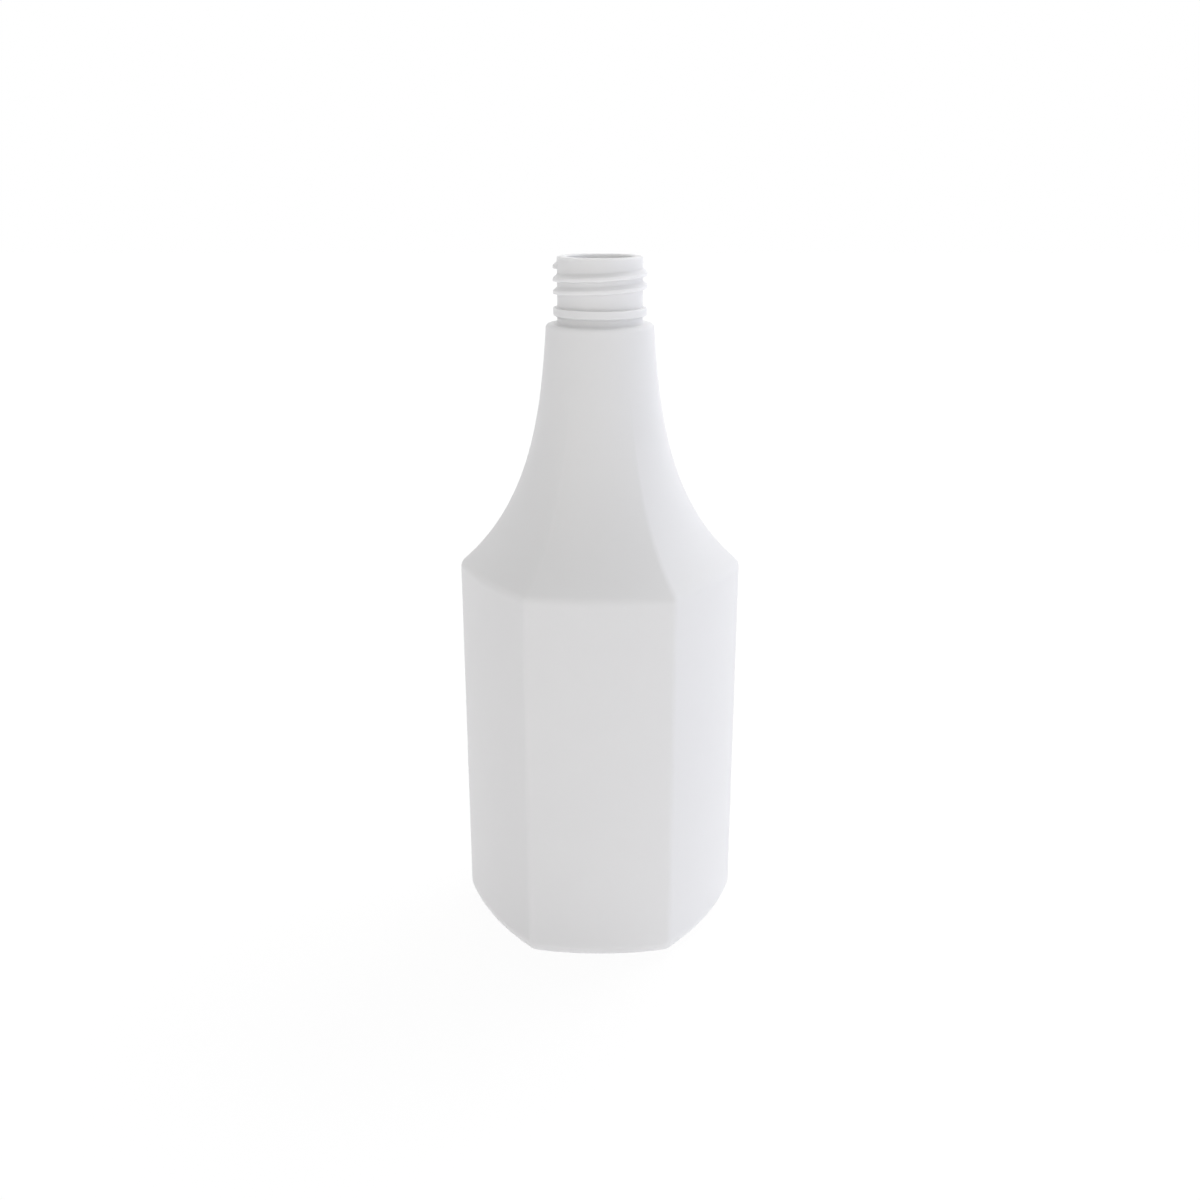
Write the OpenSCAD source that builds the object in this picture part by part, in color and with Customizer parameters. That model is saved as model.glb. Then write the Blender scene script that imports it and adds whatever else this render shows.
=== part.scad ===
// Bottle with six bowed panels, a flared shoulder and an open screw neck, blown in one piece.
// Millimetres. The origin is the middle of the foot, +Z points up and one panel faces -Y.

/* [Body] */
// Width across opposite corners, before the corners are rounded
body_w = 73.8; // [66:0.1:84]
// Height of the upright panels, from the foot to the shoulder's edge
panel_h = 99.9; // [80:0.1:130]
// How far the middle of each panel bows out
panel_bow = 2.1; // [1:0.1:3.5]
// Radius of the upright corners
corner_round = 3; // [2:0.5:5]
// How far the shoulder's edge is rounded back from its sharp line
shoulder_round = 1.4; // [0.6:0.1:2.5]
// Thickness of the blown wall
wall = 1; // [0.8:0.1:1.4]

/* [Base] */
// Radius of the edge around the base
base_round = 4.8; // [3:0.1:7]
// Width of the flat foot that the bottle stands on
foot_w = 3; // [2:0.5:5]
// Width of the slope between the foot and the pushed-up middle
push_slope_w = 5; // [3:0.5:8]
// Height of the pushed-up middle
push_up = 2; // [1:0.5:4]

/* [Flare] */
// Height of the flare, from the shoulder's edge to the ledge
flare_h = 62.1; // [56:0.1:75]
// Diameter at the top of the flare
flare_top_d = 27.1; // [26:0.1:32]
// Lean of the flare at its top, in degrees from upright
flare_top_lean = 3.5; // [0:0.5:8]
// Lean of the flare at the shoulder, in degrees from upright
flare_foot_lean = 50; // [42:1:58]
// How far the curve follows its lean at the top
flare_top_pull = 24; // [16:1:28]
// How far the curve follows its lean at the shoulder
flare_foot_pull = 24; // [16:1:28]
// Height above the shoulder at which the panels have faded into a round
fade_h = 46; // [36:1:52]

/* [Neck] */
// Height of the neck, from the ledge to the rim
neck_h = 16.2; // [15.7:0.1:18]
// Outside diameter of the neck
neck_d = 21.3; // [20.6:0.1:22]
// Diameter of the bore
bore_d = 17; // [14:0.1:18]
// Radius of the hollow curve at the foot of the neck
neck_foot_round = 1; // [0.5:0.1:1.4]
// How far the ledge's edge is rounded back from its sharp line
ledge_round = 1.2; // [0.4:0.1:1.5]
// Thickness of the ledge
ledge_wall = 1.5; // [1.2:0.1:2.2]
// Radius of the rim's outer edge
rim_round = 0.4; // [0.2:0.1:0.8]
// Size of the chamfer at the mouth of the bore
mouth_chamfer = 0.3; // [0.1:0.1:0.6]

/* [Bead] */
// Diameter of the bead below the thread
bead_d = 23.3; // [22.6:0.1:24]
// Distance from the rim down to the bead's top face
bead_drop = 12.3; // [11.6:0.1:12.8]
// Height of the bead's upright face
bead_face_h = 1.8; // [1:0.1:2]
// Height of the slope under the bead
bead_slope_h = 0.6; // [0.3:0.1:0.8]

/* [Thread] */
// Diameter over the thread's crest
thread_d = 23.4; // [22.8:0.1:24]
// Rise of the thread in one turn
thread_pitch = 3.05; // [3:0.025:3.5]
// Number of turns, with both run-outs
thread_turns = 2.15; // [1.5:0.05:2.25]
// Distance from the rim down to the thread's underside, at its upper end
thread_drop = 3; // [2.6:0.1:3.6]
// Height of the thread where it leaves the neck
thread_w = 1.9; // [1.5:0.05:2]
// Slope of the upper flank, in degrees from level
upper_flank = 40; // [30:1:50]
// Slope of the lower flank, in degrees from level
lower_flank = 10; // [5:1:20]
// Length of each run-out, in degrees around the neck
run_out = 20; // [10:5:60]
// Direction of the upper end, in degrees from +X towards +Y
thread_end_dir = 200; // [0:5:360]

/* [Hidden] */

body_r = body_w / 2;
neck_r = neck_d / 2;
bore_r = bore_d / 2;
bead_r = bead_d / 2;
ledge_z = panel_h + flare_h;
rim_z = ledge_z + neck_h;

// Steps along each panel and each corner, around the outside and around the hollow
panel_steps = 6;
corner_steps = 4;
hollow_panel_steps = 4;
hollow_corner_steps = 2;
// Steps of the small curves and of the flare, up the outside and up the hollow
bend_steps = 4;
flare_steps = 18;
hollow_flare_steps = 10;
// Steps of the thread in one turn
thread_steps = 48;
// Fineness of the neck's true rounds
neck_fn = 96;
// How deep the neck's own solid stands in the ledge, and the thread's in the neck
neck_root = 1;
thread_root = 0.5;
// How far the hollow foot curve and the thread's ends dip out of sight
curve_dip = 0.05;
end_dip = 0.3;
// Overlap of the bore with the hollow below it and the air above it
bore_over = 1;
// Space between the bore and the hollow's round roof, and the height of that roof's curve
roof_w = 1;
roof_h = 2.5;

// Bow of a panel as a share of the corner radius: on the body, and where the outline is a full round
body_bow = panel_bow / body_r;
round_bow = 1 - cos(30);

// An outline of corner radius 1 has six arcs. Radius of an arc, and its centre's place on the panel's axis
function arc_r(bow) = (0.25 + bow * bow) / (2 * bow);
function arc_c(bow) = cos(30) + bow - arc_r(bow);
// Distance from the axis to the centre of a corner's rounding of radius q
function corner_c(bow, q) =
    arc_c(bow) * cos(30) + sqrt(pow(arc_r(bow) - q, 2) - pow(arc_c(bow) * sin(30), 2));
// Direction at which the arc ends and the corner's rounding begins, from the panel's middle
function arc_end(bow, q) =
    let (c = corner_c(bow, q), share = arc_r(bow) / (arc_r(bow) - q))
    atan2(share * c * sin(30), arc_c(bow) + share * (c * cos(30) - arc_c(bow)));
// Distance from the axis to the outline in direction a, from the panel's middle
function outline(a, bow, q) =
    let (b = a > 30 ? 60 - a : abs(a), c = corner_c(bow, q))
    b <= arc_end(bow, q)
        ? arc_c(bow) * cos(b) + sqrt(pow(arc_r(bow), 2) - pow(arc_c(bow) * sin(b), 2))
        : c * cos(30 - b) + sqrt(q * q - pow(c * sin(30 - b), 2));

// Directions of the points along one panel and its corner
arc_half = arc_end(body_bow, corner_round / body_r);
function side_dirs(panels, corners) = concat(
    [for (i = [0 : panels - 1]) arc_half * (2 * i / panels - 1)],
    [for (i = [0 : corners - 1]) arc_half + 2 * (30 - arc_half) * i / corners]);

// A station is [corner radius, height, bow, corner rounding], and its ring is the outline there
function ring(s, dirs) = [
    for (side = [0 : 5], a = dirs)
        let (r = s[0] * outline(a, s[2], s[3] / s[0]), dir = a + 60 * side - 90)
        [r * cos(dir), r * sin(dir), s[1]]];

// Bow of the outline at height z: it grows above the shoulder until the outline is round
function bow_at(z) =
    body_bow + (round_bow - body_bow) * min(max((z - panel_h) / fade_h, 0), 1);

// Points of the curves, as [corner radius, height]
function lean(angle) = [sin(angle), cos(angle)];
function bend(a, b, c, t) = pow(1 - t, 2) * a + 2 * t * (1 - t) * b + t * t * c;
flare_foot = [body_r, panel_h];
flare_top = [flare_top_d / 2, ledge_z];
foot_pull = flare_foot + flare_foot_pull * [-lean(flare_foot_lean)[0], lean(flare_foot_lean)[1]];
top_pull = flare_top + flare_top_pull * [lean(flare_top_lean)[0], -lean(flare_top_lean)[1]];
function flare(t) =
    pow(1 - t, 3) * flare_foot + 3 * t * pow(1 - t, 2) * foot_pull
    + 3 * t * t * (1 - t) * top_pull + pow(t, 3) * flare_top;
// Direction outwards, square to the flare
function flare_out(t) =
    let (d = pow(1 - t, 2) * (foot_pull - flare_foot) + 2 * t * (1 - t) * (top_pull - foot_pull)
        + t * t * (flare_top - top_pull))
    [d[1], -d[0]] / norm(d);
// Ends of the flare, where the shoulder's and the ledge's roundings take over
flare_t0 = shoulder_round / (3 * flare_foot_pull);
flare_t1 = 1 - ledge_round / (3 * flare_top_pull);

function outer_station(p) = [p[0], p[1], bow_at(p[1]), corner_round];

// The outline moved in by w: its corner radius, and its bow as a share of that
function inset_r(r, bow, w) = r * corner_c(bow, w / r);
function inset_bow(r, bow, w) =
    ((arc_c(bow) + arc_r(bow)) * r - w) / inset_r(r, bow, w) - cos(30);
// Station on the inner face: outer point p moved in by the wall, square to the profile
function inner_station(p, out) =
    let (bow = bow_at(p[1]), w = wall * out[0])
    [inset_r(p[0], bow, w), p[1] - wall * out[1], inset_bow(p[0], bow, w), corner_round - wall];

foot_r = body_r - base_round;
push_r = foot_r - foot_w - push_slope_w;

outer_points = concat(
    [for (i = [bend_steps : -1 : 1])
        let (t = i / bend_steps)
        [foot_r - foot_w - push_slope_w * t, push_up * (1 - cos(180 * t)) / 2]],
    [[foot_r - foot_w, 0]],
    [for (i = [0 : bend_steps])
        let (a = 90 * i / bend_steps)
        [foot_r + base_round * sin(a), base_round * (1 - cos(a))]],
    [for (i = [0 : bend_steps])
        bend([body_r, panel_h - shoulder_round], flare_foot, flare(flare_t0), i / bend_steps)],
    [for (i = [1 : flare_steps]) flare(flare_t0 + (flare_t1 - flare_t0) * i / flare_steps)],
    [for (i = [1 : bend_steps])
        bend(flare(flare_t1), flare_top, flare_top - [ledge_round, 0], i / bend_steps)]);

// Roof of the hollow, under the ledge
roof_z = ledge_z - ledge_wall;
roof_t = 1 - (ledge_wall + roof_h) / (3 * flare_top_pull);
roof_start = flare(roof_t) - wall * flare_out(roof_t);

inner_stations = concat(
    [for (i = [bend_steps : -1 : 0])
        let (t = i / bend_steps)
        inner_station([foot_r - foot_w - push_slope_w * t, push_up * (1 - cos(180 * t)) / 2], [0, -1])],
    [for (i = [0 : bend_steps])
        let (a = 90 * i / bend_steps)
        inner_station([foot_r + base_round * sin(a), base_round * (1 - cos(a))], [sin(a), -cos(a)])],
    [for (i = [0 : bend_steps])
        let (t = i / bend_steps, out = flare_out(flare_t0) * t + [1, 0] * (1 - t))
        inner_station(
            bend([body_r, panel_h - shoulder_round], flare_foot, flare(flare_t0), t), out / norm(out))],
    [for (i = [1 : hollow_flare_steps])
        let (t = flare_t0 + (roof_t - flare_t0) * i / hollow_flare_steps)
        inner_station(flare(t), flare_out(t))],
    [for (i = [1 : bend_steps])
        let (p = bend(roof_start, [roof_start[0], roof_z], [bore_r + roof_w, roof_z], i / bend_steps))
        [p[0], p[1], round_bow, corner_round - wall]]);

// Neck outline, from the root in the ledge up to the rim
neck_points = concat(
    [[0, ledge_z - neck_root], [neck_r + neck_foot_round, ledge_z - neck_root]],
    [for (a = [270 : -15 : 180])
        [neck_r + neck_foot_round * (1 + cos(a)), ledge_z - curve_dip + neck_foot_round * (1 + sin(a))]],
    [[neck_r, rim_z - bead_drop - bead_face_h - bead_slope_h],
     [bead_r, rim_z - bead_drop - bead_face_h],
     [bead_r, rim_z - bead_drop],
     [neck_r, rim_z - bead_drop]],
    [for (a = [0 : 22.5 : 90])
        [neck_r - rim_round * (1 - cos(a)), rim_z - rim_round * (1 - sin(a))]],
    [[0, rim_z]]);

// Share of the thread's full height at angle a from its lower end
thread_sweep = 360 * thread_turns;
function run_share(a) =
    let (s = min(a, thread_sweep - a, run_out) / run_out)
    (1 - cos(180 * s)) / 2;
// Four corners of the thread's section at angle a from its lower end
function thread_ring(a) =
    let (
        low = neck_r - end_dip,
        crest = low + (thread_d / 2 - low) * run_share(a),
        root = neck_r - thread_root,
        under = rim_z - thread_drop - thread_pitch * (thread_turns - a / 360),
        over = under + thread_w,
        dir = thread_end_dir - thread_sweep + a)
    [for (p = [
        [root, over - (root - neck_r) * tan(upper_flank)],
        [crest, over - (crest - neck_r) * tan(upper_flank)],
        [crest, under + (crest - neck_r) * tan(lower_flank)],
        [root, under + (root - neck_r) * tan(lower_flank)]])
        [p[0] * cos(dir), p[0] * sin(dir), p[1]]];

// Closed solid through a stack of rings, with a flat end on the first and the last
module stack(rings) {
    n = len(rings[0]);
    last = len(rings) - 1;
    polyhedron(
        points = [for (r = rings, p = r) p],
        faces = concat(
            [[for (i = [0 : n - 1]) i]],
            [for (k = [0 : last - 1], i = [0 : n - 1])
                let (j = (i + 1) % n, a = k * n)
                each [[a + i, a + n + i, a + n + j], [a + i, a + n + j, a + j]]],
            [[for (i = [n - 1 : -1 : 0]) last * n + i]]));
}

// Outer form: base, bowed panels, shoulder, flare and ledge
module panelled_form() {
    dirs = side_dirs(panel_steps, corner_steps);
    stack([for (p = outer_points) ring(outer_station(p), dirs)]);
}

// Hollow inside the blown wall, up to the roof under the ledge
module hollow() {
    dirs = side_dirs(hollow_panel_steps, hollow_corner_steps);
    stack([for (s = inner_stations) ring(s, dirs)]);
}

// Neck with its foot curve, bead and rounded rim
module neck() {
    rotate_extrude($fn = neck_fn) polygon(neck_points);
}

// Right-hand thread, running into the neck at both ends
module thread() {
    steps = ceil(thread_turns * thread_steps);
    stack([for (i = [0 : steps]) thread_ring(thread_sweep * i / steps)]);
}

// Bore from the hollow's roof up through the rim, with its mouth chamfer
module bore() {
    translate([0, 0, roof_z - bore_over])
        cylinder(h = rim_z - roof_z + 2 * bore_over, r = bore_r, $fn = neck_fn);
    translate([0, 0, rim_z - mouth_chamfer])
        cylinder(
            h = mouth_chamfer + bore_over, r1 = bore_r, r2 = bore_r + mouth_chamfer + bore_over, $fn = neck_fn);
}

module bottle() {
    color([0.93, 0.93, 0.94])
        difference() {
            union() {
                panelled_form();
                neck();
                thread();
            }
            hollow();
            bore();
        }
}

bottle();
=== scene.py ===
"""White blow-moulded bottle with six bowed panels, a flared shoulder and an open screw neck.

The bottle's sizes are millimetres, as in the part's source, and its mesh is written in metres in the place of
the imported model. The studio's sizes are metres. The bottle is one closed surface: rings are carried up the
outside, over the rim and down the hollow, and on the neck's wall the thread's section is carried along its
helix.
"""

import logging
import math
from collections.abc import Sequence
from dataclasses import dataclass, field
from enum import Enum

import bmesh
import bpy
import numpy as np
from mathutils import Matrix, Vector


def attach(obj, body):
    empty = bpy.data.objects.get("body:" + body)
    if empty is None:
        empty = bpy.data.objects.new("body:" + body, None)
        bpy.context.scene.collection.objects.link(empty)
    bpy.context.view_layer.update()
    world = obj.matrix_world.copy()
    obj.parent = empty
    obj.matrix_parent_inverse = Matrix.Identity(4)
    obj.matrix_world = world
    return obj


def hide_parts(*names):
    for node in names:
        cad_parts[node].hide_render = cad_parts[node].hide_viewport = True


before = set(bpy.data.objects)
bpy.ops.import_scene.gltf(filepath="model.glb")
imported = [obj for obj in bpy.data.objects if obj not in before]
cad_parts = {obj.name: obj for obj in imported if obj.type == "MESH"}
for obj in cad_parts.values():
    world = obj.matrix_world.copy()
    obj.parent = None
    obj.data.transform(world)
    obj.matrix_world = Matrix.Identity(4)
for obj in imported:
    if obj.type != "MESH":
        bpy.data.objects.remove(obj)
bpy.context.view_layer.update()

LOG = logging.getLogger("bottle")
# Share by which the mesh is drawn small, so that rounding never takes it out of the CAD model's box
SPARE = 2e-6
# Metres in a millimetre of the bottle
METRES = 0.001 * (1 - SPARE)
# Corners closer than this are one corner of the mesh, in metres
SAME_PLACE = 2e-7
# Largest share of a leg that the rounding of a corner may take
LEG_SHARE = 0.48
SIDES = 6
HALF_SIDE = math.radians(180 / SIDES)
# Direction of the front panel's middle
FRONT = math.radians(-90)
# Bow at which six sides make a full round
ROUND_BOW = 1 - math.cos(HALF_SIDE)

Colour = tuple[float, float, float]


class Ray(Enum):
    """Kinds of ray that find the white of the studio instead of its light."""

    CAMERA = "Is Camera Ray"
    GLOSSY = "Is Glossy Ray"
    TRANSMISSION = "Is Transmission Ray"


class LampShape(Enum):
    """Outlines of the soft lamps."""

    ROUND = "DISK"
    STRIP = "RECTANGLE"


def arc_radius(bow: np.ndarray) -> np.ndarray:
    """Radius of a side's arc, for corners 1 from the axis: (1/4 + bow squared) / (2 bow)."""
    return (0.25 + bow**2) / (2 * bow)


def arc_centre(bow: np.ndarray) -> np.ndarray:
    """Place of that arc's centre on the side's axis: the side's distance plus the bow, less the radius."""
    return math.cos(HALF_SIDE) + bow - arc_radius(bow)


def corner_centre(bow: np.ndarray, rounding: np.ndarray) -> np.ndarray:
    """Distance from the axis to the centre of a corner's rounding, which touches both arcs from inside.

    Args:
        bow: bow of the sides, as a share of the corners' distance.
        rounding: radius of the corner's rounding, as the same share.

    Returns:
        Where the corner's direction meets a circle about the arc's centre that is smaller by the rounding.
    """
    centre = arc_centre(bow)
    across = centre * math.sin(HALF_SIDE)
    return centre * math.cos(HALF_SIDE) + np.sqrt((arc_radius(bow) - rounding) ** 2 - across**2)


def arc_end(bow: np.ndarray, rounding: np.ndarray) -> np.ndarray:
    """Direction at which a side's arc ends and the corner's rounding begins, from the side's middle.

    Args:
        bow: bow of the sides, as a share of the corners' distance.
        rounding: radius of the corner's rounding, as the same share.

    Returns:
        Direction of the point where the line through both centres meets the arc.
    """
    centre, corner = arc_centre(bow), corner_centre(bow, rounding)
    share = arc_radius(bow) / (arc_radius(bow) - rounding)
    along = centre + share * (corner * math.cos(HALF_SIDE) - centre)
    return np.arctan2(share * corner * math.sin(HALF_SIDE), along)


def outline(turn: np.ndarray, bow: np.ndarray, rounding: np.ndarray) -> np.ndarray:
    """Distance from the axis to the six-sided outline, for corners 1 from the axis.

    Up to the arc's end it is where the direction meets the arc, and past it, where it meets the rounding.

    Args:
        turn: direction from the nearest side's middle, from 0 to half a side.
        bow: bow of the sides.
        rounding: radius of the corners' rounding.

    Returns:
        The distances, for all three broadcast against each other.
    """
    centre, corner = arc_centre(bow), corner_centre(bow, rounding)
    on_arc = centre * np.cos(turn) + np.sqrt(arc_radius(bow) ** 2 - (centre * np.sin(turn)) ** 2)
    left = HALF_SIDE - turn
    on_corner = corner * np.cos(left) + np.sqrt(np.maximum(rounding**2 - (corner * np.sin(left)) ** 2, 0))
    return np.where(turn <= arc_end(bow, rounding), on_arc, on_corner)


def ease(share: np.ndarray) -> np.ndarray:
    """Smooth step from 0 to 1: half of one less the cosine of half a turn."""
    return (1 - np.cos(np.pi * share)) / 2


@dataclass(frozen=True)
class Profile:
    """Stretch of the section, drawn from the base's middle up the outside.

    Attributes:
        points: radius and height of each point, in rows.
        out: unit vector out of the plastic at each point, in rows.
    """

    points: np.ndarray
    out: np.ndarray

    @classmethod
    def curve(cls, controls: Sequence[Sequence[float]], steps: int) -> "Profile":
        """Bezier curve: each control point is weighted by its term of (t + (1 - t)) to the degree.

        Args:
            controls: radius and height of the control points.
            steps: number of equal steps in t.

        Returns:
            The curve, with its slope turned a quarter clockwise as the way out.
        """
        t = np.linspace(0, 1, steps + 1)[:, None]
        held = np.asarray(controls, dtype=float)

        def blend(weighted: np.ndarray) -> np.ndarray:
            """Sum of the points, each weighted by its binomial term.

            Args:
                weighted: points in rows, as many as the degree and one more.

            Returns:
                A point for each value of t, in rows.
            """
            degree = len(weighted) - 1
            terms = [math.comb(degree, k) * t**k * (1 - t) ** (degree - k) for k in range(degree + 1)]
            return sum(term * point for term, point in zip(terms, weighted))

        slope = blend(np.diff(held, axis=0))
        slope /= np.linalg.norm(slope, axis=1, keepdims=True)
        return cls(blend(held), np.stack([slope[:, 1], -slope[:, 0]], axis=1))

    @classmethod
    def line(cls, start: Sequence[float], end: Sequence[float], steps: int = 1) -> "Profile":
        """Straight stretch, as a curve of two control points."""
        return cls.curve([start, end], steps)

    @classmethod
    def arc(cls, centre: Sequence[float], radius: float, angles: np.ndarray) -> "Profile":
        """Round stretch that bulges outwards: the centre plus the radius along each angle from level."""
        out = np.stack([np.cos(angles), np.sin(angles)], axis=1)
        return cls(np.asarray(centre) + radius * out, out)

    @classmethod
    def joined(cls, parts: Sequence["Profile"]) -> "Profile":
        """Several stretches, one after another."""
        return cls(np.concatenate([p.points for p in parts]), np.concatenate([p.out for p in parts]))


def rounded_line(corners: Sequence[tuple[float, float, float]], steps: int) -> np.ndarray:
    """Line through corners, each rounded by a true arc.

    An arc touches both legs at its radius times the tangent of half the turn from the corner. Its centre lies
    a radius off the incoming leg, on the side to which the line turns.

    Args:
        corners: radius, height and rounding of each corner. The first and the last are left sharp.
        steps: steps of each arc.

    Returns:
        Radius and height of the points, in rows.
    """
    spots = np.array(corners)[:, :2]
    made = [spots[:1]]
    for before, here, after, (_, _, rounding) in zip(spots, spots[1:], spots[2:], corners[1:]):
        ahead = (here - before) / np.linalg.norm(here - before)
        onward = (after - here) / np.linalg.norm(after - here)
        turn = math.atan2(ahead[0] * onward[1] - ahead[1] * onward[0], float(ahead @ onward))
        start = here - rounding * math.tan(abs(turn) / 2) * ahead
        inward = math.copysign(rounding, turn) * np.array([-ahead[1], ahead[0]])
        angles = np.linspace(0, turn, steps + 1)[:, None]
        spoke = -inward
        swung = np.cos(angles) * spoke + np.sin(angles) * np.array([-spoke[1], spoke[0]])
        made.append(start + inward + swung)
    made.append(spots[-1:])
    return np.concatenate(made)


@dataclass(frozen=True)
class Rings:
    """Rings around the bottle's axis, one entry of each field a ring.

    Attributes:
        radius: distance of the outline's unrounded corners from the axis.
        height: height above the foot.
        bow: bow of the sides, as a share of the radius.
        rounding: radius of the corners' rounding, as a share of the radius.
    """

    radius: np.ndarray
    height: np.ndarray
    bow: np.ndarray
    rounding: np.ndarray

    @classmethod
    def full_round(cls, points: np.ndarray) -> "Rings":
        """Round rings through points of radius and height."""
        same = np.ones(len(points))
        return cls(points[:, 0], points[:, 1], ROUND_BOW * same, 0 * same)

    @classmethod
    def joined(cls, parts: Sequence["Rings"]) -> "Rings":
        """Several stacks of rings, one after another."""
        names = ("radius", "height", "bow", "rounding")
        return cls(*(np.concatenate([getattr(part, name) for part in parts]) for name in names))

    def closed_below(self) -> "Rings":
        """The same rings after a first one that is a point, on the axis at the first ring's height."""
        point = Rings(0 * self.radius[:1], self.height[:1], self.bow[:1], self.rounding[:1])
        return Rings.joined([point, self])

    def downwards(self) -> "Rings":
        """The same rings in the opposite order."""
        return Rings(self.radius[::-1], self.height[::-1], self.bow[::-1], self.rounding[::-1])

    def grid(self, directions: np.ndarray) -> np.ndarray:
        """Points of the rings: radius times the unit outline, along each direction, at the ring's height.

        Args:
            directions: directions of the columns, from the front panel's middle.

        Returns:
            Array of rings by columns by three coordinates.
        """
        turn = np.abs((directions + HALF_SIDE) % (2 * HALF_SIDE) - HALF_SIDE)
        far = self.radius[:, None] * outline(turn[None], self.bow[:, None], self.rounding[:, None])
        up = np.broadcast_to(self.height[:, None], far.shape)
        return np.stack([far * np.cos(directions + FRONT), far * np.sin(directions + FRONT), up], axis=2)


@dataclass(frozen=True)
class Body:
    """Base, bowed panels, shoulder, flare and ledge, with the hollow inside them.

    Attributes:
        corner_r: distance of the unrounded upright corners from the axis.
        panel_h: height of the upright panels.
        panel_bow: how far the middle of each panel bows out.
        corner_round: radius of the upright corners.
        shoulder_round: how far the shoulder's edge is rounded back from its sharp line.
        wall: thickness of the blown wall.
        base_round: radius of the edge around the base.
        foot_w: width of the flat foot.
        push_slope_w: width of the slope between the foot and the pushed-up middle.
        push_up: height of the pushed-up middle.
        flare_h: height of the flare.
        flare_top_r: radius at the top of the flare.
        flare_top_lean: lean of the flare at its top, in degrees from upright.
        flare_foot_lean: lean of the flare at the shoulder.
        flare_pull: how far the flare's curve follows its lean at either end.
        fade_h: height above the shoulder at which the panels have faded into a round.
        ledge_round: how far the ledge's edge is rounded back from its sharp line.
        ledge_wall: thickness of the ledge.
        roof_w: space between the bore and the curve of the hollow's roof.
        roof_h: height of that curve.
        panel_margin: plain wall between a panel's rows of faces and the edges above and below it.
        foot_steps: steps across the flat foot.
        panel_steps: steps up the panels.
        curve_steps: steps of each small curve.
        flare_steps: steps up the outside of the flare.
        hollow_steps: steps up the inside of the flare.
    """

    corner_r: float = 36.9
    panel_h: float = 99.9
    panel_bow: float = 2.1
    corner_round: float = 3.0
    shoulder_round: float = 1.4
    wall: float = 1.0
    base_round: float = 4.8
    foot_w: float = 3.0
    push_slope_w: float = 5.0
    push_up: float = 2.0
    flare_h: float = 62.1
    flare_top_r: float = 13.55
    flare_top_lean: float = 3.5
    flare_foot_lean: float = 50.0
    flare_pull: float = 24.0
    fade_h: float = 46.0
    ledge_round: float = 1.2
    ledge_wall: float = 1.5
    roof_w: float = 1.0
    roof_h: float = 2.5
    panel_margin: float = 0.6
    foot_steps: int = 3
    panel_steps: int = 8
    curve_steps: int = 12
    flare_steps: int = 44
    hollow_steps: int = 30

    @property
    def ledge_z(self) -> float:
        """Height of the ledge."""
        return self.panel_h + self.flare_h

    @property
    def body_bow(self) -> float:
        """Bow of a panel, as a share of the corners' distance."""
        return self.panel_bow / self.corner_r

    @property
    def flare_controls(self) -> np.ndarray:
        """Control points of the flare: its ends, and a pull along its lean from each.

        Returns:
            Radius and height of the four points, in rows.
        """
        foot, top = math.radians(self.flare_foot_lean), math.radians(self.flare_top_lean)
        start = np.array([self.corner_r, self.panel_h])
        end = np.array([self.flare_top_r, self.ledge_z])
        return np.stack([
            start,
            start + self.flare_pull * np.array([-math.sin(foot), math.cos(foot)]),
            end + self.flare_pull * np.array([math.sin(top), -math.cos(top)]),
            end,
        ])

    def flare_part(self, first: float, last: float, steps: int) -> Profile:
        """Stretch of the flare between two values of its curve's parameter.

        The controls of a stretch are blends of the whole curve's controls. Each is taken at the first or the
        last value as often as its place in the stretch says.

        Args:
            first: parameter at the stretch's lower end.
            last: parameter at its upper end.
            steps: steps along it.

        Returns:
            The stretch, as a curve of its own.
        """

        def blossom(values: Sequence[float]) -> np.ndarray:
            """Point that blends the controls once for each value.

            Args:
                values: three parameters of the whole curve.

            Returns:
                Radius and height of the point.
            """
            points = self.flare_controls
            for value in values:
                points = (1 - value) * points[:-1] + value * points[1:]
            return points[0]

        return Profile.curve([blossom([first] * (3 - k) + [last] * k) for k in range(4)], steps)

    def bow_at(self, height: np.ndarray) -> np.ndarray:
        """Bow of the sides at a height, which grows evenly above the shoulder up to a full round."""
        share = np.clip((height - self.panel_h) / self.fade_h, 0, 1)
        return self.body_bow + (ROUND_BOW - self.body_bow) * share

    @property
    def foot_r(self) -> float:
        """Radius at which the base's edge meets the foot."""
        return self.corner_r - self.base_round

    @property
    def flare_start(self) -> float:
        """Parameter of the flare at which the shoulder's rounding ends."""
        return self.shoulder_round / (3 * self.flare_pull)

    def lower_profile(self) -> Profile:
        """Section from the pushed-up middle's edge, over the foot and up the panel, to the shoulder's end.

        The slope of the push is the eased step, the base's edge a quarter circle, and the shoulder a Bezier
        curve that starts upright and ends along the flare.

        Returns:
            The section, with its way out.
        """
        foot_in = self.foot_r - self.foot_w
        slope_share = np.linspace(1, 0, self.curve_steps + 1)
        push = np.stack([foot_in - self.push_slope_w * slope_share, self.push_up * ease(slope_share)], axis=1)
        downward = np.tile([0.0, -1.0], (len(push), 1))
        quarter = np.radians(np.linspace(-90, 0, self.curve_steps + 1))
        wall_top = self.panel_h - self.shoulder_round
        first = self.flare_part(0, self.flare_start, 1).points
        return Profile.joined([
            Profile(push, downward),
            Profile.line((foot_in, 0), (self.foot_r, 0), self.foot_steps),
            Profile.arc((self.foot_r, self.base_round), self.base_round, quarter),
            Profile.line(
                (self.corner_r, self.base_round + self.panel_margin),
                (self.corner_r, wall_top - self.panel_margin), self.panel_steps),
            Profile.curve([(self.corner_r, wall_top), first[0], first[-1]], self.curve_steps),
        ])

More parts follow.
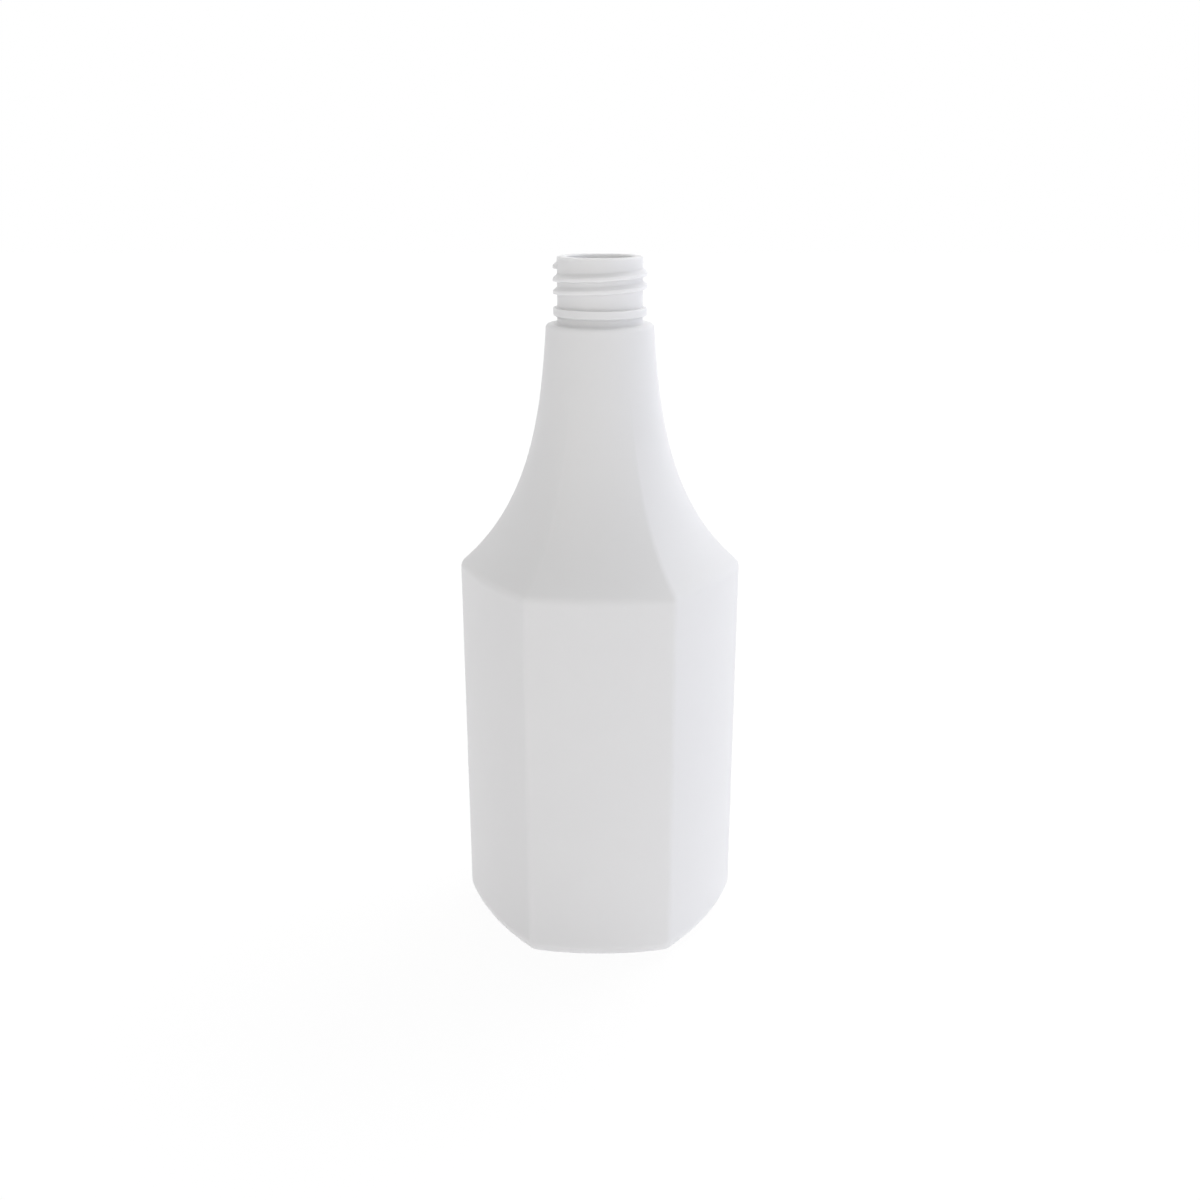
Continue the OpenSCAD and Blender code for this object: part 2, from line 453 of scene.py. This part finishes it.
    def outside(self) -> Rings:
        """Rings up the outside, from the base's middle to the ledge's flat.

        Returns:
            The rings, the first of them a point on the axis.
        """
        flare_end = 1 - self.ledge_round / (3 * self.flare_pull)
        flare = self.flare_part(self.flare_start, flare_end, self.flare_steps)
        top = (self.flare_top_r, self.ledge_z)
        flat = (self.flare_top_r - self.ledge_round, self.ledge_z)
        ledge = Profile.curve([flare.points[-1], top, flat], self.curve_steps)
        radius, height = Profile.joined([self.lower_profile(), flare, ledge]).points.T
        return Rings(radius, height, self.bow_at(height), self.corner_round / radius).closed_below()

    def inside(self, bore_r: float) -> Rings:
        """Rings down the hollow, from its roof at the bore to the base's middle.

        Each point of the section is moved in by the wall, square to it. The outline there is the outer one,
        moved in as well: its arcs keep their centres and lose the same width.

        Args:
            bore_r: radius of the bore.

        Returns:
            The rings, from the top down.
        """
        flare_end = 1 - (self.ledge_wall + self.roof_h) / (3 * self.flare_pull)
        flare = self.flare_part(self.flare_start, flare_end, self.hollow_steps)
        outer = Profile.joined([self.lower_profile(), flare])
        bow = self.bow_at(outer.points[:, 1])
        width = self.wall * np.abs(outer.out[:, 0])
        big = outer.points[:, 0]
        radius = big * corner_centre(bow, width / big)
        reach = (arc_centre(bow) + arc_radius(bow)) * big - width
        inner = Rings(
            radius,
            outer.points[:, 1] - self.wall * outer.out[:, 1],
            reach / radius - math.cos(HALF_SIDE),
            (self.corner_round - self.wall) / radius,
        )
        roof_z = self.ledge_z - self.ledge_wall
        start = np.array([radius[-1], inner.height[-1]])
        roof = Profile.curve(
            [start, (start[0], roof_z), (bore_r + self.roof_w, roof_z)], self.curve_steps).points
        return Rings.joined([inner.closed_below(), Rings.full_round(roof)]).downwards()


@dataclass(frozen=True)
class Thread:
    """Right-handed thread on the neck.

    Attributes:
        crest_r: radius over the crest.
        pitch: rise in one turn.
        turns: number of turns, with both run-outs.
        drop: distance from the rim down to the thread's underside, at its upper end.
        width: height of the thread where it leaves the neck.
        upper_flank: slope of the upper flank, in degrees from level.
        lower_flank: slope of the lower flank.
        run_out: length of each run-out, in degrees around the neck.
        end_dir: direction of the upper end, in degrees from +X towards +Y.
        end_dip: how far the crest dips under the neck's wall at either end.
        crest_soft: how far the crest's edges are rounded back.
        root_soft: how far the hollows at the flanks' feet reach.
        edge_steps: steps of each rounding.
    """

    crest_r: float = 11.7
    pitch: float = 3.05
    turns: float = 2.15
    drop: float = 3.0
    width: float = 1.9
    upper_flank: float = 40.0
    lower_flank: float = 10.0
    run_out: float = 20.0
    end_dir: float = 200.0
    end_dip: float = 0.3
    crest_soft: float = 0.18
    root_soft: float = 0.3
    edge_steps: int = 6

    def crest_height(self, along: np.ndarray, neck_r: float) -> np.ndarray:
        """Height of the crest above the neck's wall, eased up from under it over each run-out.

        Args:
            along: angle along the helix from the thread's lower end, in degrees.
            neck_r: radius of the neck's wall.

        Returns:
            The heights, nought past the thread's ends.
        """
        sweep = 360 * self.turns
        share = np.clip(np.minimum(along, sweep - along) / self.run_out, 0, 1)
        full = self.crest_r - neck_r + self.end_dip
        return np.maximum(full * ease(share) - self.end_dip, 0)

    def section(self, crest: np.ndarray) -> np.ndarray:
        """Rounded section of the thread, with half of the plain wall below it and half of that above it.

        Around each corner the points are the corner, plus (1 - t) squared times the reach back along one leg,
        plus t squared times the reach along the other, where the reach is limited by the leg.

        Args:
            crest: height of the crest above the wall, one entry a section.

        Returns:
            Array of sections by points by two: rise from the thread's underside and height off the wall.
        """
        nought = 0 * crest
        gap = (self.pitch - self.width) / 2
        low = crest * math.tan(math.radians(self.lower_flank))
        high = self.width - crest * math.tan(math.radians(self.upper_flank))
        corners = [
            np.stack(pair, axis=1) for pair in (
                (nought - gap, nought), (nought, nought), (low, crest),
                (high, crest), (nought + self.width, nought), (nought + self.width + gap, nought))]
        softness = [self.root_soft, self.crest_soft, self.crest_soft, self.root_soft]
        t = np.linspace(0, 1, self.edge_steps + 1)[None, :, None]
        made = [corners[0][:, None]]
        for before, here, after, soft in zip(corners, corners[1:], corners[2:], softness):
            legs = []
            for other in (before, after):
                leg = other - here
                length = np.linalg.norm(leg, axis=1, keepdims=True)
                legs.append(leg * np.minimum(soft / np.maximum(length, soft), LEG_SHARE))
            made.append(here[:, None] + (1 - t) ** 2 * legs[0][:, None] + t**2 * legs[1][:, None])
        made.append(corners[-1][:, None])
        return np.concatenate(made, axis=1)

    def band(
        self, directions: np.ndarray, neck_r: float, rim_z: float, low: float, high: float
    ) -> np.ndarray:
        """Neck wall with its thread: the section carried along the helix, cut level at both ends.

        A point lies at the wall's radius plus the section's height, in the helix's direction, at the helix's
        height plus the section's rise. The heights are held between the two levels.

        Args:
            directions: directions of the columns, from the front panel's middle.
            neck_r: radius of the neck's wall.
            rim_z: height of the rim.
            low: level at the bottom.
            high: level at the top.

        Returns:
            Array of section points by columns by three coordinates, with the columns along all turns.
        """
        start = math.radians(self.end_dir) - 2 * math.pi * self.turns
        first = np.sort((directions + FRONT - start) % (2 * math.pi))
        spare = math.ceil((high - low) / self.pitch) + 1
        along = np.concatenate([first + 2 * math.pi * turn for turn in range(-spare, spare + 1)])
        degrees = np.degrees(along)
        section = self.section(self.crest_height(degrees, neck_r))
        under = rim_z - self.drop - self.pitch * (self.turns - degrees / 360)
        up = np.clip(under[:, None] + section[:, :, 0], low, high)
        far = neck_r + section[:, :, 1]
        way = (along + start)[:, None]
        return np.stack([far * np.cos(way), far * np.sin(way), up], axis=2).transpose(1, 0, 2)


@dataclass(frozen=True)
class Neck:
    """Neck above the ledge: its foot, its bead, its thread, its rim and the bore through it.

    Attributes:
        foot_z: height of the ledge that the neck stands on.
        height: height of the neck.
        radius: radius of the neck's wall.
        bore_r: radius of the bore.
        foot_round: radius of the hollow curve at the neck's foot.
        bead_r: radius of the bead.
        bead_drop: distance from the rim down to the bead's top face.
        bead_face_h: height of the bead's upright face.
        bead_slope_h: height of the slope under the bead.
        bead_soft: radius of the bead's edges.
        bead_root: radius of the hollows beside the bead.
        rim_round: radius of the rim's outer edge.
        mouth_chamfer: size of the chamfer at the bore's mouth.
        mouth_soft: radius of that chamfer's edges.
        band_margin: plain wall between the thread's band and the edges beside it.
        edge_steps: steps of each rounded edge.
        thread: the thread.
    """

    foot_z: float = 162.0
    height: float = 16.2
    radius: float = 10.65
    bore_r: float = 8.5
    foot_round: float = 1.0
    bead_r: float = 11.65
    bead_drop: float = 12.3
    bead_face_h: float = 1.8
    bead_slope_h: float = 0.6
    bead_soft: float = 0.15
    bead_root: float = 0.25
    rim_round: float = 0.4
    mouth_chamfer: float = 0.3
    mouth_soft: float = 0.12
    band_margin: float = 0.2
    edge_steps: int = 8
    thread: Thread = field(default_factory=Thread)

    @property
    def rim_z(self) -> float:
        """Height of the rim."""
        return self.foot_z + self.height

    @property
    def band_levels(self) -> tuple[float, float]:
        """Levels between which the neck's wall is the thread's band."""
        bead_top = self.rim_z - self.bead_drop
        return bead_top + self.bead_root + self.band_margin, self.rim_z - self.rim_round - self.band_margin

    def below_thread(self, ledge_edge_r: float) -> Rings:
        """Rings over the ledge's flat, up the neck's foot and over the bead, to the thread's band.

        Args:
            ledge_edge_r: radius at which the ledge's flat begins.

        Returns:
            Round rings, from the outside up.
        """
        bead_top = self.rim_z - self.bead_drop
        bead_low = bead_top - self.bead_face_h
        return Rings.full_round(rounded_line([
            (ledge_edge_r, self.foot_z, 0),
            (self.radius, self.foot_z, self.foot_round),
            (self.radius, bead_low - self.bead_slope_h, self.bead_root),
            (self.bead_r, bead_low, self.bead_soft),
            (self.bead_r, bead_top, self.bead_soft),
            (self.radius, bead_top, self.bead_root),
            (self.radius, self.band_levels[0], 0)], self.edge_steps))

    def above_thread(self, roof_z: float, roof_r: float) -> Rings:
        """Rings from the thread's band over the rim, through the mouth and down the bore to the roof.

        Args:
            roof_z: height of the hollow's roof.
            roof_r: radius at which the roof's flat ends.

        Returns:
            Round rings, from the outside over and down.
        """
        return Rings.full_round(rounded_line([
            (self.radius, self.band_levels[1], 0),
            (self.radius, self.rim_z, self.rim_round),
            (self.bore_r + self.mouth_chamfer, self.rim_z, self.mouth_soft),
            (self.bore_r, self.rim_z - self.mouth_chamfer, self.mouth_soft),
            (self.bore_r, roof_z, self.mouth_soft),
            (roof_r, roof_z, 0)], self.edge_steps))


def grid_faces(rows: int, columns: int, first: int, closed: bool) -> np.ndarray:
    """Faces of a grid of points that is stored row by row.

    Each face takes a point, its neighbour along the row and the two above them, so it faces outwards where
    the columns run anticlockwise and the rows run up.

    Args:
        rows: number of rows.
        columns: number of columns.
        first: index of the grid's first point.
        closed: whether the last column joins the first.

    Returns:
        Array of faces by four indices.
    """
    row = np.arange(rows - 1)[:, None]
    column = np.arange(columns if closed else columns - 1)[None]
    beside = (column + 1) % columns
    corners = [row * columns + column, row * columns + beside, (row + 1) * columns + beside,
               (row + 1) * columns + column]
    return first + np.stack(corners, axis=2).reshape(-1, 4)


def closed_mesh(name: str, grids: Sequence[tuple[np.ndarray, bool]]) -> bpy.types.Object:
    """Object made of several grids whose edges meet, joined into one closed and smooth surface.

    Args:
        name: name of the object.
        grids: points of each grid in metres, and whether its columns close.

    Returns:
        The object, in the scene's collection.
    """
    points, faces, first = [], [], 0
    for grid, closed in grids:
        rows, columns, _ = grid.shape
        points.append(grid.reshape(-1, 3))
        faces.append(grid_faces(rows, columns, first, closed))
        first += rows * columns
    mesh = bpy.data.meshes.new(name)
    mesh.from_pydata(np.concatenate(points), [], np.concatenate(faces))
    shell = bmesh.new()
    shell.from_mesh(mesh)
    bmesh.ops.remove_doubles(shell, verts=shell.verts, dist=SAME_PLACE)
    shell.to_mesh(mesh)
    shell.free()
    mesh.shade_smooth()
    made = bpy.data.objects.new(name, mesh)
    bpy.context.scene.collection.objects.link(made)
    return made


@dataclass(frozen=True)
class Polyethylene:
    """Satin white polyethylene, as a blow mould leaves it.

    Attributes:
        pale: colour of the plastic where it is lightest.
        deep: colour where the pigment lies a little thicker.
        sheen_low: roughness where the mould was smoothest.
        sheen_high: roughness where it was dullest.
        spread: how far light spreads inside the plastic, in metres.
        ior: how strongly the plastic bends light.
        grain: size of the mould's fine grain, in metres.
        grain_share: how much of the grain's bump shows.
        grain_depth: depth of the grain, in metres.
        ripple: size of the soft waves in the blown wall, in metres.
        ripple_share: how much of the waves' bump shows.
        ripple_depth: depth of the waves, in metres.
        cloud: size of the clouds in its tone, in metres.
        cloud_detail: number of finer layers in the clouds.
        sheen_detail: number of finer layers in the sheen.
        bump_detail: number of finer layers in the grain and the waves.
    """

    pale: Colour = (0.815, 0.815, 0.82)
    deep: Colour = (0.80, 0.80, 0.808)
    sheen_low: float = 0.30
    sheen_high: float = 0.38
    spread: float = 0.001
    ior: float = 1.5
    grain: float = 0.0006
    grain_share: float = 0.10
    grain_depth: float = 6e-6
    ripple: float = 0.012
    ripple_share: float = 0.12
    ripple_depth: float = 5e-5
    cloud: float = 0.036
    cloud_detail: float = 2.0
    sheen_detail: float = 3.0
    bump_detail: float = 1.0

    def material(self) -> bpy.types.Material:
        """Node material: translucent, with clouded tone and sheen, and fine grain over soft waves as bump.

        Returns:
            The material, which reads Object coordinates.
        """
        made = bpy.data.materials.new("satin_polyethylene")
        made.use_nodes = True
        tree = made.node_tree
        shader = tree.nodes["Principled BSDF"]
        shader.inputs["IOR"].default_value = self.ior
        shader.inputs["Subsurface Weight"].default_value = 1.0
        shader.inputs["Subsurface Radius"].default_value = (1, 1, 1)
        shader.inputs["Subsurface Scale"].default_value = self.spread
        place = tree.nodes.new("ShaderNodeTexCoord")

        def noise(size: float, detail: float) -> bpy.types.NodeSocket:
            """Height of a noise, read at the piece's own coordinates.

            Args:
                size: size of its features, in metres.
                detail: number of finer layers in it.

            Returns:
                The socket that gives the height.
            """
            node = tree.nodes.new("ShaderNodeTexNoise")
            node.inputs["Scale"].default_value = 1 / size
            node.inputs["Detail"].default_value = detail
            tree.links.new(place.outputs["Object"], node.inputs["Vector"])
            return node.outputs["Fac"]

        clouds = noise(self.cloud, self.cloud_detail)
        tone = tree.nodes.new("ShaderNodeMix")
        tone.data_type = "RGBA"
        tone.inputs["A"].default_value = (*self.deep, 1)
        tone.inputs["B"].default_value = (*self.pale, 1)
        tree.links.new(clouds, tone.inputs["Factor"])
        tree.links.new(tone.outputs["Result"], shader.inputs["Base Color"])

        sheen = tree.nodes.new("ShaderNodeMapRange")
        sheen.inputs["To Min"].default_value = self.sheen_low
        sheen.inputs["To Max"].default_value = self.sheen_high
        tree.links.new(noise(self.ripple, self.sheen_detail), sheen.inputs["Value"])
        tree.links.new(sheen.outputs["Result"], shader.inputs["Roughness"])

        surface = None
        for size, share, depth in ((self.ripple, self.ripple_share, self.ripple_depth),
                                   (self.grain, self.grain_share, self.grain_depth)):
            bump = tree.nodes.new("ShaderNodeBump")
            bump.inputs["Strength"].default_value = share
            bump.inputs["Distance"].default_value = depth
            tree.links.new(noise(size, self.bump_detail), bump.inputs["Height"])
            if surface is not None:
                tree.links.new(surface, bump.inputs["Normal"])
            surface = bump.outputs["Normal"]
        tree.links.new(surface, shader.inputs["Normal"])
        return made

    def dress(self, piece: bpy.types.Object) -> None:
        """Give the piece this finish, as the record's white plastic.

        Args:
            piece: the object to dress.
        """
        piece.data.materials.clear()
        piece.data.materials.append(self.material())


@dataclass(frozen=True)
class Bottle:
    """The whole bottle, blown in one piece.

    Attributes:
        body: everything up to the ledge.
        neck: everything above it.
        finish: the plastic.
        panel_columns: columns across each panel.
        corner_columns: columns around each upright corner.
    """

    body: Body = field(default_factory=Body)
    neck: Neck = field(default_factory=Neck)
    finish: Polyethylene = field(default_factory=Polyethylene)
    panel_columns: int = 24
    corner_columns: int = 8

    def directions(self) -> np.ndarray:
        """Directions of the columns, from the front panel's middle, closer together towards the corners.

        Across a panel they follow (3 u - u cubed) / 2 for u from -1 to 1, times the arc's end, and around a
        corner they are evenly spaced.

        Returns:
            The directions, once around the bottle.
        """
        body = self.body
        end = float(arc_end(np.array(body.body_bow), np.array(body.corner_round / body.corner_r)))
        u = np.linspace(-1, 1, self.panel_columns + 1)[:-1]
        panel = end * (3 * u - u**3) / 2
        corner = end + 2 * (HALF_SIDE - end) * np.arange(self.corner_columns) / self.corner_columns
        side = np.concatenate([panel, corner])
        return (side[None] + 2 * HALF_SIDE * np.arange(SIDES)[:, None]).reshape(-1)

    def build(self) -> bpy.types.Object:
        """Make the bottle in the place of the CAD solid.

        Returns:
            The finished object.
        """
        body, neck = self.body, self.neck
        ways = self.directions()
        roof_z = body.ledge_z - body.ledge_wall
        up = Rings.joined([body.outside(), neck.below_thread(body.flare_top_r - body.ledge_round)])
        down = Rings.joined([neck.above_thread(roof_z, neck.bore_r + body.roof_w), body.inside(neck.bore_r)])
        band = neck.thread.band(ways, neck.radius, neck.rim_z, *neck.band_levels)
        piece = closed_mesh("white_bottle", [
            (up.grid(ways) * METRES, True),
            (band * METRES, False),
            (down.grid(ways) * METRES, True)])
        self.finish.dress(piece)
        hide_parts("bottle")
        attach(piece, "root")
        return piece


def white_to_viewer(tree: bpy.types.NodeTree, lit: bpy.types.NodeSocket, white: bpy.types.NodeSocket,
                    surface: bpy.types.NodeSocket) -> None:
    """Show one shader to the camera, to gloss and to glass, and another to the light.

    Args:
        tree: node tree of the material or the world.
        lit: shader that lights the object.
        white: shader that is seen.
        surface: input of the tree's output node.
    """
    rays = tree.nodes.new("ShaderNodeLightPath")
    seen = rays.outputs[Ray.CAMERA.value]
    for ray in (Ray.GLOSSY, Ray.TRANSMISSION):
        either = tree.nodes.new("ShaderNodeMath")
        either.operation = "MAXIMUM"
        tree.links.new(seen, either.inputs[0])
        tree.links.new(rays.outputs[ray.value], either.inputs[1])
        seen = either.outputs[0]
    choice = tree.nodes.new("ShaderNodeMixShader")
    tree.links.new(seen, choice.inputs[0])
    tree.links.new(lit, choice.inputs[1])
    tree.links.new(white, choice.inputs[2])
    tree.links.new(choice.outputs[0], surface)


@dataclass(frozen=True)
class Lamp:
    """Soft lamp that hangs around the bottle and points at it, and leaves no highlight on the plastic.

    Attributes:
        name: name of the lamp.
        azimuth: direction from the bottle, in degrees from +X towards +Y.
        elevation: height of that direction, in degrees above level.
        power: power in watts.
        colour: colour of the light.
        shape: outline of the lamp.
        width: width of the lamp in metres.
        height: height of a strip lamp in metres.
        distance: distance from the bottle in metres.
    """

    name: str
    azimuth: float
    elevation: float
    power: float
    colour: Colour
    shape: LampShape
    width: float
    height: float = 0.24
    distance: float = 1.2

    def hang(self, target: Vector) -> bpy.types.Object:
        """Put the lamp in the scene.

        Args:
            target: point that the lamp shines at.

        Returns:
            The lamp's object.
        """
        light = bpy.data.lights.new(self.name, "AREA")
        light.shape = self.shape.value
        light.size = self.width
        light.size_y = self.height
        light.energy = self.power
        light.color = self.colour
        made = bpy.data.objects.new(self.name, light)
        round_angle, up_angle = math.radians(self.azimuth), math.radians(self.elevation)
        way = Vector((
            math.cos(up_angle) * math.cos(round_angle), math.cos(up_angle) * math.sin(round_angle),
            math.sin(up_angle)))
        made.location = target + self.distance * way
        made.rotation_euler = way.to_track_quat("Z", "Y").to_euler()
        made.visible_camera = False
        made.visible_glossy = False
        bpy.context.scene.collection.objects.link(made)
        return made


@dataclass(frozen=True)
class Studio:
    """Pale floor, soft light and the camera.

    Attributes:
        lamps: the lamps.
        world_light: light that comes evenly from all round.
        table_light: light that the table under the bottle gives off.
        floor_colour: colour of the floor.
        floor_half: half the floor's width, in metres.
        floor_white: strength of the white that the camera sees on the floor.
        shadow_share: how much of the floor's shading the camera sees by the bottle, the rest being white.
        shadow_near: distance from the bottle's axis up to which it sees that share, in metres.
        shadow_far: distance at which it sees white alone, in metres.
        camera_tilt: how far the camera looks down, in degrees.
        camera_distance: distance from the camera to its target, in metres.
        target_z: height of that target, in metres.
        focal_pixels: focal length, in pixels of the frame.
        frame_pixels: width of the frame in pixels.
        sensor_width: width of the camera's sensor, in millimetres.
    """

    lamps: tuple[Lamp, ...] = (
        Lamp("front_strip", -90, 16, 2.65, (1.0, 0.99, 0.93), LampShape.STRIP, 1.0),
        Lamp("right_strip", 0, 16, 2.1, (0.655, 0.735, 1.0), LampShape.STRIP, 1.0),
        Lamp("back_lamp", 45, 40, 5.9, (1.0, 1.0, 1.0), LampShape.ROUND, 0.9),
        Lamp("top_lamp", 90, 65, 3.2, (0.99, 0.99, 1.0), LampShape.ROUND, 0.9),
    )
    world_light: Colour = (0.459, 0.456, 0.454)
    table_light: Colour = (0.245, 0.24, 0.25)
    floor_colour: Colour = (0.9, 0.9, 0.9)
    floor_half: float = 3.0
    floor_white: float = 1.035
    shadow_share: float = 0.12
    shadow_near: float = 0.08
    shadow_far: float = 0.35
    camera_tilt: float = 18.45
    camera_distance: float = 0.3442
    target_z: float = 0.0891
    focal_pixels: float = 1286.75
    frame_pixels: int = 1200
    sensor_width: float = 36.0

    @property
    def target(self) -> Vector:
        """Point that the camera looks at, on the bottle's axis."""
        return Vector((0, 0, self.target_z))

    def lay_floor(self) -> bpy.types.Object:
        """Lay the pale floor that the bottle stands on.

        Returns:
            The floor.
        """
        edge = self.floor_half
        mesh = bpy.data.meshes.new("pale_floor")
        corners = [(-edge, -edge, 0), (edge, -edge, 0), (edge, edge, 0), (-edge, edge, 0)]
        mesh.from_pydata(corners, [], [(0, 1, 2, 3)])
        floor = bpy.data.objects.new("pale_floor", mesh)
        bpy.context.scene.collection.objects.link(floor)
        paint = bpy.data.materials.new("floor_white")
        paint.use_nodes = True
        tree = paint.node_tree
        tree.nodes.remove(tree.nodes["Principled BSDF"])
        matt = tree.nodes.new("ShaderNodeBsdfDiffuse")
        matt.inputs["Color"].default_value = (*self.floor_colour, 1)
        glow = tree.nodes.new("ShaderNodeEmission")
        glow.inputs["Color"].default_value = (*self.table_light, 1)
        table = tree.nodes.new("ShaderNodeAddShader")
        tree.links.new(matt.outputs[0], table.inputs[0])
        tree.links.new(glow.outputs[0], table.inputs[1])
        white = tree.nodes.new("ShaderNodeEmission")
        white.inputs["Strength"].default_value = self.floor_white
        place = tree.nodes.new("ShaderNodeTexCoord")
        away = tree.nodes.new("ShaderNodeVectorMath")
        away.operation = "LENGTH"
        tree.links.new(place.outputs["Object"], away.inputs[0])
        share = tree.nodes.new("ShaderNodeMapRange")
        share.interpolation_type = "SMOOTHSTEP"
        share.inputs["From Min"].default_value = self.shadow_near
        share.inputs["From Max"].default_value = self.shadow_far
        share.inputs["To Min"].default_value = self.shadow_share
        share.inputs["To Max"].default_value = 0.0
        tree.links.new(away.outputs["Value"], share.inputs["Value"])
        shown = tree.nodes.new("ShaderNodeMixShader")
        tree.links.new(share.outputs["Result"], shown.inputs[0])
        tree.links.new(white.outputs[0], shown.inputs[1])
        tree.links.new(matt.outputs[0], shown.inputs[2])
        output = tree.nodes["Material Output"]
        white_to_viewer(tree, table.outputs[0], shown.outputs[0], output.inputs["Surface"])
        mesh.materials.append(paint)
        return floor

    def fill_world(self) -> bpy.types.World:
        """Make the world: even light on the bottle, and white to the viewer.

        Returns:
            The world, set on the scene.
        """
        world = bpy.data.worlds.new("studio")
        world.use_nodes = True
        tree = world.node_tree
        lit = tree.nodes["Background"]
        lit.inputs["Color"].default_value = (*self.world_light, 1)
        white = tree.nodes.new("ShaderNodeBackground")
        white.inputs["Color"].default_value = (1, 1, 1, 1)
        output = tree.nodes["World Output"]
        white_to_viewer(tree, lit.outputs[0], white.outputs[0], output.inputs["Surface"])
        bpy.context.scene.world = world
        return world

    def place_camera(self) -> bpy.types.Object:
        """Place the camera at the photograph's viewing angle.

        Returns:
            The camera, set on the scene.
        """
        lens = bpy.data.cameras.new("camera")
        lens.sensor_width = self.sensor_width
        lens.lens = self.sensor_width * self.focal_pixels / self.frame_pixels
        camera = bpy.data.objects.new("camera", lens)
        tilt = math.radians(self.camera_tilt)
        back = Vector((0, -math.cos(tilt), math.sin(tilt)))
        camera.location = self.target + self.camera_distance * back
        camera.rotation_euler = back.to_track_quat("Z", "Y").to_euler()
        bpy.context.scene.collection.objects.link(camera)
        bpy.context.scene.camera = camera
        return camera

    def set_up(self) -> None:
        """Lay the floor, fill the world, hang the lamps and place the camera."""
        self.lay_floor()
        self.fill_world()
        for lamp in self.lamps:
            lamp.hang(self.target)
        self.place_camera()
        bpy.context.scene.view_settings.view_transform = "Standard"


def main() -> None:
    """Build the bottle and its studio, and report each piece."""
    logging.basicConfig(level=logging.INFO, format="%(name)s: %(message)s")
    piece = Bottle().build()
    piece.data.calc_loop_triangles()
    LOG.info("%s: %d triangles", piece.name, len(piece.data.loop_triangles))
    Studio().set_up()


if __name__ == "__main__":
    main()
